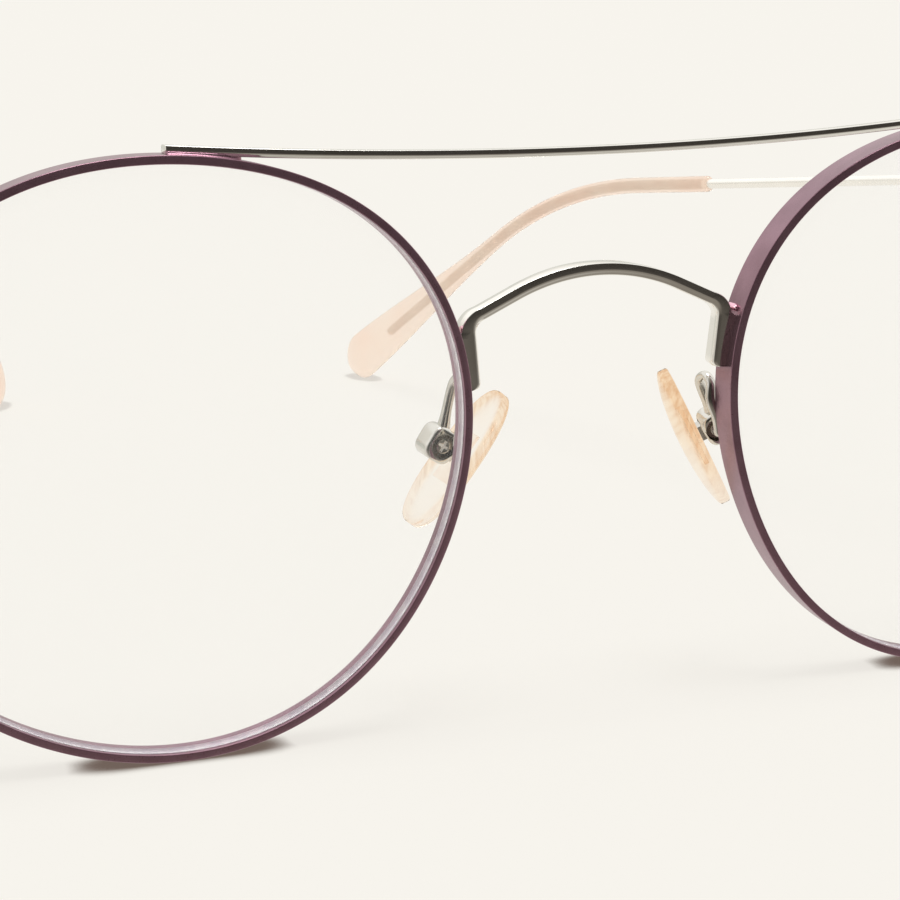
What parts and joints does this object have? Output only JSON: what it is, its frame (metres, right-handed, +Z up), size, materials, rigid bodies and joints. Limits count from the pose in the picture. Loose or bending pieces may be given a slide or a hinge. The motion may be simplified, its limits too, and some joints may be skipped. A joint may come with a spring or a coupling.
{
  "type": "eyeglass frame",
  "caption": "Round metal eyeglass frame with a straight bar above an arched bridge, adjustable nose pads, and temples that fold on hinges and end in translucent tips.",
  "frame": {"origin": "on the ground, under the middle of the whole frame's box", "axes": "+X to the wearer's left, +Y back towards the ears, +Z up; the front looks along -Y"},
  "size_m": [0.1334, 0.1424, 0.0491],
  "materials": {
    "wire": "satin anodised mauve, darker on the front face",
    "polished": "polished pale nickel",
    "lens": "clear, with a faint reflection",
    "tip": "translucent peach with the wire showing inside",
    "pad": "clear amber, glossy"
  },
  "bodies": {
    "front": {"left_rim": "wire", "right_rim": "wire", "left_lens": "lens", "right_lens": "lens", "top_bar": "polished", "bridge": "polished", "left_upper_block": "wire", "right_upper_block": "wire", "left_lower_block": "wire", "right_lower_block": "wire", "left_rim_screw": "polished", "right_rim_screw": "polished", "left_endpiece": "wire", "right_endpiece": "wire", "left_front_hinge": "polished", "right_front_hinge": "polished", "left_hinge_screw": "polished", "right_hinge_screw": "polished", "left_pad_arm": "polished", "right_pad_arm": "polished", "left_pad_box": "polished", "right_pad_box": "polished", "left_pad_screw": "polished", "right_pad_screw": "polished"},
    "left_temple": {"left_temple_hinge": "polished", "left_temple": "polished", "left_temple_tip": "tip"},
    "right_temple": {"right_temple_hinge": "polished", "right_temple": "polished", "right_temple_tip": "tip"},
    "left_pad": {"left_pad_insert": "polished", "left_nose_pad": "pad"},
    "right_pad": {"right_pad_insert": "polished", "right_nose_pad": "pad"}
  },
  "joints": [
    {"name": "left_temple_fold", "type": "hinge", "parent": "front", "child": "left_temple", "pos_m": [0.0647, -0.06209, 0.04132], "axis": [0, 0, 1], "range_deg": [-9.4, 71]},
    {"name": "right_temple_fold", "type": "hinge", "parent": "front", "child": "right_temple", "pos_m": [-0.0647, -0.06209, 0.04132], "axis": [0, 0, -1], "range_deg": [-9.4, 68]},
    {"name": "left_pad_rock", "type": "hinge", "parent": "front", "child": "left_pad", "pos_m": [0.0133, -0.06345, 0.02224], "axis": [0.2382, 0.9588, 0.1547], "range_deg": [-17.4, 6.6]},
    {"name": "right_pad_rock", "type": "hinge", "parent": "front", "child": "right_pad", "pos_m": [-0.01208, -0.06286, 0.02258], "axis": [-0.0073, 1, 0.0048], "range_deg": [-17.4, 6.6]}
  ]
}
